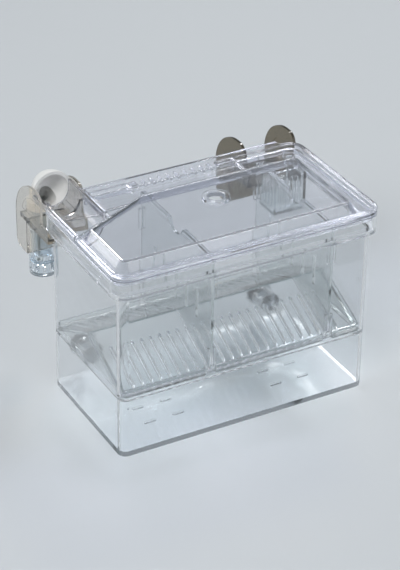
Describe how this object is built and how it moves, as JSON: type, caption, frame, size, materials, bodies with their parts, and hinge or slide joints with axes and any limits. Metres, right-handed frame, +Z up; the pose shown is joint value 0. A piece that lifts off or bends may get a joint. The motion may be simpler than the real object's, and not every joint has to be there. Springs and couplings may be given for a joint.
{
  "type": "hang-on fish breeding box",
  "caption": "Clear hang-on breeding box for an aquarium, with a lift-off vented lid, air-driven water inlet, gabled slotted floor, lift-out dividers, outflow guard and stand-off spacers.",
  "frame": {"origin": "centre of the tank's flat underside", "axes": "+X along the tank's length from the water inlet to the outflow, +Y towards the aquarium's glass and the hooks, +Z up"},
  "size_m": [0.165, 0.1377, 0.1271],
  "materials": {
    "clear_shell": "clear rigid plastic, polished inside and out",
    "smoke_clear": "smoke-tinted clear plastic",
    "clear_lid": "clear rigid plastic with polished bevels",
    "clear_insert": "clear rigid plastic, slightly satin",
    "clear_tube": "clear extruded and moulded plastic",
    "white_moulding": "opaque white moulding, satin gloss",
    "soft_pad": "soft dark rubber"
  },
  "bodies": {
    "tank": {"tank": "clear_shell", "inlet_hook": "smoke_clear", "outflow_hook": "smoke_clear"},
    "lid": {"lid": "clear_lid"},
    "channel": {"inlet_channel": "clear_lid"},
    "inlet": {"elbow": "white_moulding", "lift_tube": "clear_tube"},
    "sleeve": {"lift_sleeve": "clear_tube", "intake_strainer": "clear_tube", "air_nozzle": "white_moulding"},
    "floor": {"fry_floor_front": "clear_insert", "fry_floor_rear": "clear_insert", "floor_end_left": "clear_insert", "floor_end_right": "clear_insert"},
    "divider_left": {"divider_left": "clear_insert"},
    "divider_right": {"divider_right": "clear_insert"},
    "guard": {"outflow_guard": "clear_insert"},
    "spacer_left": {"spacer_left": "clear_tube", "spacer_pad_left": "soft_pad"},
    "spacer_right": {"spacer_right": "clear_tube", "spacer_pad_right": "soft_pad"}
  },
  "joints": [
    {"name": "lid_lift", "type": "slide", "parent": "tank", "child": "lid", "axis": [0, 0, 1], "range_m": [0, 0.12]},
    {"name": "channel_lift", "type": "slide", "parent": "tank", "child": "channel", "axis": [0, 0, 1], "range_m": [0, 0.096]},
    {"name": "divider_left_lift", "type": "slide", "parent": "tank", "child": "divider_left", "axis": [0, 0, 1], "range_m": [0, 0.084]},
    {"name": "divider_right_lift", "type": "slide", "parent": "tank", "child": "divider_right", "axis": [0, 0, 1], "range_m": [0, 0.084]},
    {"name": "guard_lift", "type": "slide", "parent": "tank", "child": "guard", "axis": [0, 0, 1], "range_m": [0, 0.072]},
    {"name": "floor_lift", "type": "slide", "parent": "tank", "child": "floor", "axis": [0, 0, 1], "range_m": [0, 0.06]},
    {"name": "inlet_lift", "type": "slide", "parent": "tank", "child": "inlet", "axis": [0, 0, 1], "range_m": [0, 0.008]},
    {"name": "sleeve_slide", "type": "slide", "parent": "inlet", "child": "sleeve", "axis": [0, 0, -1], "range_m": [0, 0.012]},
    {"name": "spacer_left_slide", "type": "slide", "parent": "tank", "child": "spacer_left", "axis": [0, 1, 0], "range_m": [0, 0.009]},
    {"name": "spacer_right_slide", "type": "slide", "parent": "tank", "child": "spacer_right", "axis": [0, 1, 0], "range_m": [0, 0.009]}
  ],
  "couplings": [
    {"joint": "channel_lift", "follows": "lid_lift", "ratio": 0.8},
    {"joint": "divider_left_lift", "follows": "lid_lift", "ratio": 0.7},
    {"joint": "divider_right_lift", "follows": "lid_lift", "ratio": 0.7},
    {"joint": "guard_lift", "follows": "lid_lift", "ratio": 0.6},
    {"joint": "floor_lift", "follows": "lid_lift", "ratio": 0.5}
  ]
}
